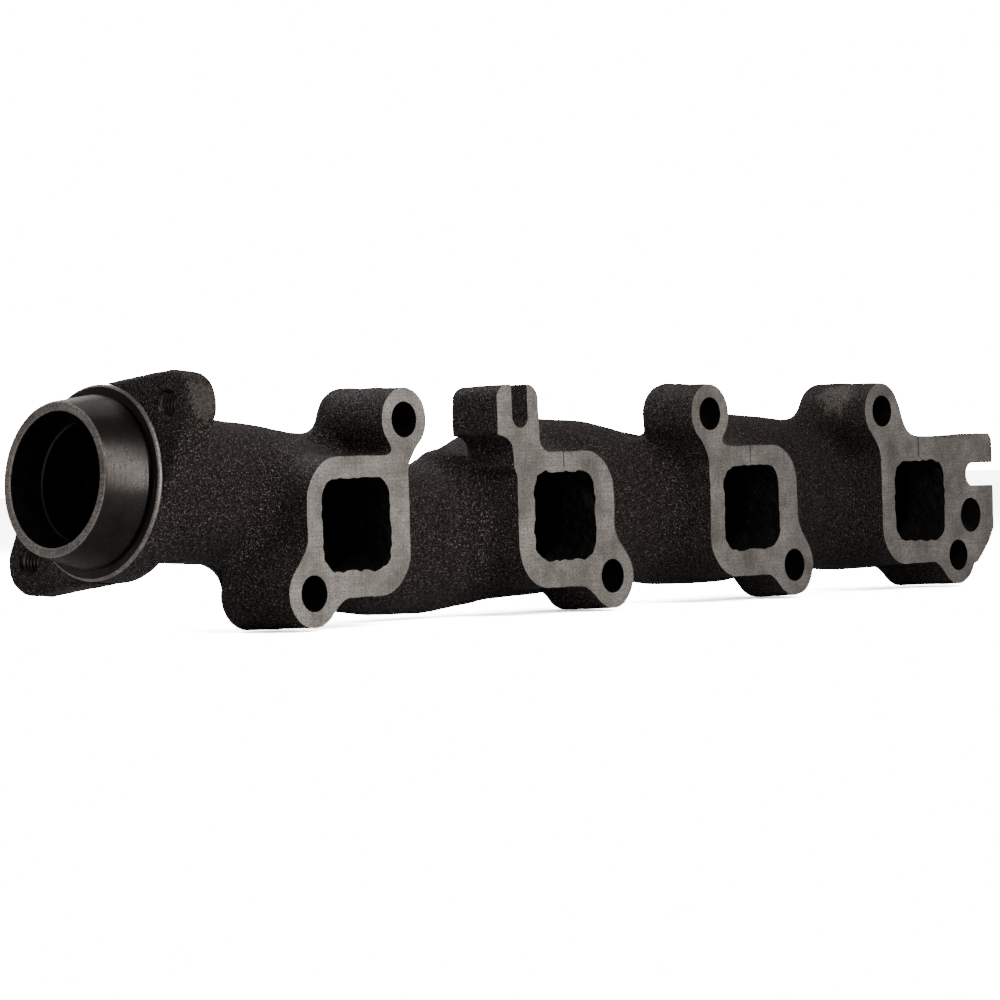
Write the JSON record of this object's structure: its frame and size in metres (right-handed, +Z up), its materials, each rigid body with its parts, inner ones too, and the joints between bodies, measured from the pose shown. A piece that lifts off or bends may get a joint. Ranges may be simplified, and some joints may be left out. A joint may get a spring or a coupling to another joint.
{
  "type": "exhaust manifold",
  "caption": "Cast-iron log exhaust manifold with rectangular port flanges, drilled bolt bosses and a tapered outlet spigot on an eared flange.",
  "frame": {"origin": "centre of the first gas port, on the machined head face", "axes": "+X along the row of ports away from the outlet, +Y from the head face into the casting, +Z up"},
  "size_m": [0.5004, 0.0951, 0.0929],
  "materials": {
    "cast_skin": "sand-cast, dark oxide",
    "machined_face": "milled flat",
    "turned_iron": "turned, satin"
  },
  "bodies": {
    "root": {"outlet_spigot": "turned_iron", "outlet_land": "turned_iron", "outlet_ear_upper": "cast_skin", "outlet_ear_lower": "cast_skin", "outlet_neck": "cast_skin", "log_1": "cast_skin", "log_2": "cast_skin", "log_3": "cast_skin", "log_4": "cast_skin", "log_end_cap": "cast_skin", "runner_1": "cast_skin", "runner_2": "cast_skin", "runner_3": "cast_skin", "runner_4": "cast_skin", "port_flange_1": "machined_face", "port_flange_2": "machined_face", "port_flange_3": "machined_face", "port_flange_4": "machined_face", "boss_upper_1": "cast_skin", "boss_slotted_2": "cast_skin", "boss_upper_3": "cast_skin", "boss_upper_4": "cast_skin", "boss_lower_1": "cast_skin", "boss_lower_2": "cast_skin", "boss_lower_3": "cast_skin", "boss_lower_4": "cast_skin", "end_plate": "machined_face"}
  },
  "joints": []
}
